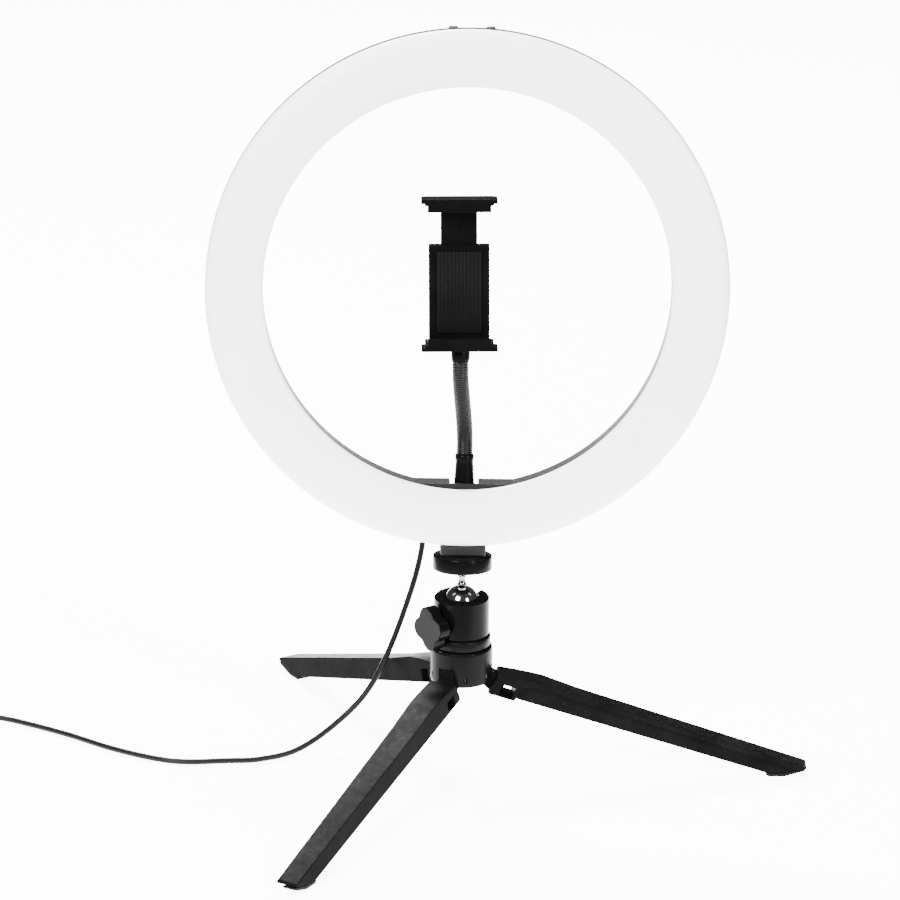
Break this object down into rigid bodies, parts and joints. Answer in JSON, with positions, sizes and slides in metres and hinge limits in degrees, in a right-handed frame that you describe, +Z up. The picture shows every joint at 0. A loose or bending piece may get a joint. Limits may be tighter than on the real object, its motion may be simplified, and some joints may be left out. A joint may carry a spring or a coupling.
{
  "type": "ring light",
  "caption": "Desktop ring light on a folding tripod, with a ball head, a gooseneck phone holder inside the ring and a USB lead with an in-line control box.",
  "frame": {"origin": "on the surface the light stands on, under the centre of the box round the light without its lead", "axes": "+Z up, front (the lit face) towards -Y, +X to the right seen from the front"},
  "size_m": [0.4736, 0.3552, 0.3836],
  "materials": {
    "diffuser": "frosted translucent white",
    "housing": "dark grey satin moulding",
    "plastic": "black semi-gloss moulding",
    "leg_plastic": "black moulding with a fine grained texture",
    "rubber": "black, dull",
    "chrome": "polished",
    "steel": "plated",
    "brass": "turned",
    "board": "white",
    "lead": "black satin sheath",
    "button": "grey"
  },
  "bodies": {
    "base": {"hub": "plastic", "hub_screw": "steel", "pin_right": "steel", "pin_back": "steel", "pin_front": "steel", "base_collar": "plastic", "head_body": "plastic", "pressure_cup": "plastic", "lock_screw": "steel", "lead_drop": "lead", "lead_run": "lead", "lead_link": "lead", "lead_tail": "lead", "lead_coil": "lead", "lead_tie": "rubber", "controller_bottom": "plastic", "controller_top": "plastic", "controller_board": "board", "plug_grip": "plastic", "plug_shell": "steel", "plug_tongue": "button"},
    "right_leg": {"leg_right": "leg_plastic", "foot_right": "rubber"},
    "back_leg": {"leg_back": "leg_plastic", "foot_back": "rubber"},
    "front_leg": {"leg_front": "leg_plastic", "foot_front": "rubber"},
    "knob": {"lock_knob": "plastic"},
    "ball_joint": {"ball": "chrome"},
    "stem_joint": {"stem": "chrome"},
    "ring_head": {"platform": "plastic", "platform_pad": "rubber", "stud": "steel", "mount_block": "housing", "threaded_insert": "brass", "diffuser": "diffuser", "back_housing": "housing", "led_board": "board", "reflector": "board", "housing_screw_1": "steel", "housing_screw_2": "steel", "housing_screw_3": "steel", "strain_relief": "rubber", "neck_ferrule": "plastic"},
    "neck_low": {"neck_lower": "rubber"},
    "neck_mid": {"neck_middle": "rubber"},
    "neck_high": {"neck_upper": "rubber", "neck_collar": "plastic"},
    "clamp": {"clamp_frame": "plastic", "clamp_cover": "plastic", "clamp_screw_1": "steel", "clamp_screw_2": "steel", "lower_jaw_pad": "rubber", "back_pad": "rubber", "jaw_spring": "steel"},
    "jaw": {"upper_jaw": "plastic", "upper_jaw_pad": "rubber"},
    "power_button": {"button_power": "button"},
    "colour_button": {"button_colour": "button"},
    "brightness_button": {"button_brightness": "button"}
  },
  "joints": [
    {"name": "right_leg_fold", "type": "hinge", "parent": "base", "child": "right_leg", "pos_m": [-0.01219, 0.00049, 0.0576], "axis": [-0.0052, 1, 0], "range_deg": [0, 52]},
    {"name": "back_leg_fold", "type": "hinge", "parent": "base", "child": "back_leg", "pos_m": [-0.02934, 0.01027, 0.0576], "axis": [-0.8634, -0.5045, 0], "range_deg": [0, 52]},
    {"name": "front_leg_fold", "type": "hinge", "parent": "base", "child": "front_leg", "pos_m": [-0.02924, -0.00947, 0.0576], "axis": [0.8686, -0.4955, 0], "range_deg": [0, 52]},
    {"name": "knob_turn", "type": "hinge", "parent": "base", "child": "knob", "pos_m": [-0.03848, -0.01039, 0.084], "axis": [-0.809, -0.5878, 0], "range_deg": [0, 330]},
    {"name": "ball_tilt", "type": "hinge", "parent": "base", "child": "ball_joint", "pos_m": [-0.02359, 0.00043, 0.0941], "axis": [1, 0, 0], "range_deg": [-25.8, 40.2], "deforming": ["lead_drop"]},
    {"name": "ball_lean", "type": "hinge", "parent": "ball_joint", "child": "stem_joint", "pos_m": [-0.02359, 0.00043, 0.0941], "axis": [0, 1, 0], "range_deg": [-33.7, 32.3]},
    {"name": "ring_swivel", "type": "hinge", "parent": "stem_joint", "child": "ring_head", "pos_m": [-0.02359, 0.00043, 0.0941], "axis": [0.0121, 0.1253, 0.992], "range_deg": [-90, 90]},
    {"name": "neck_sway", "type": "hinge", "parent": "ring_head", "child": "neck_low", "pos_m": [-0.02247, 0.01095, 0.1734], "axis": [-0.0015, 0.9921, -0.1253], "range_deg": [-20, 20]},
    {"name": "neck_bow", "type": "hinge", "parent": "neck_low", "child": "neck_mid", "pos_m": [-0.02317, 0.00787, 0.18963], "axis": [0.9999, 0, -0.0122], "range_deg": [-25, 25]},
    {"name": "neck_nod", "type": "hinge", "parent": "neck_mid", "child": "neck_high", "pos_m": [-0.02461, 0.0006, 0.2064], "axis": [0.9999, 0, -0.0122], "range_deg": [-25, 25]},
    {"name": "clamp_turn", "type": "hinge", "parent": "neck_high", "child": "clamp", "pos_m": [-0.02516, -0.00133, 0.2278], "axis": [-0.0071, 0.1253, 0.9921], "continuous": true},
    {"name": "jaw_slide", "type": "slide", "parent": "clamp", "child": "jaw", "axis": [-0.0071, 0.1253, 0.9921], "range_m": [-0.01, 0.02], "deforming": ["jaw_spring"]},
    {"name": "power_press", "type": "slide", "parent": "base", "child": "power_button", "axis": [0, 0, -1], "range_m": [0, 0.0006], "stiffness_N_per_m": 400, "springref_m": -0.001},
    {"name": "colour_press", "type": "slide", "parent": "base", "child": "colour_button", "axis": [0, 0, -1], "range_m": [0, 0.0006], "stiffness_N_per_m": 400, "springref_m": -0.001},
    {"name": "brightness_press", "type": "slide", "parent": "base", "child": "brightness_button", "axis": [0, 0, -1], "range_m": [0, 0.0006], "stiffness_N_per_m": 400, "springref_m": -0.001}
  ]
}
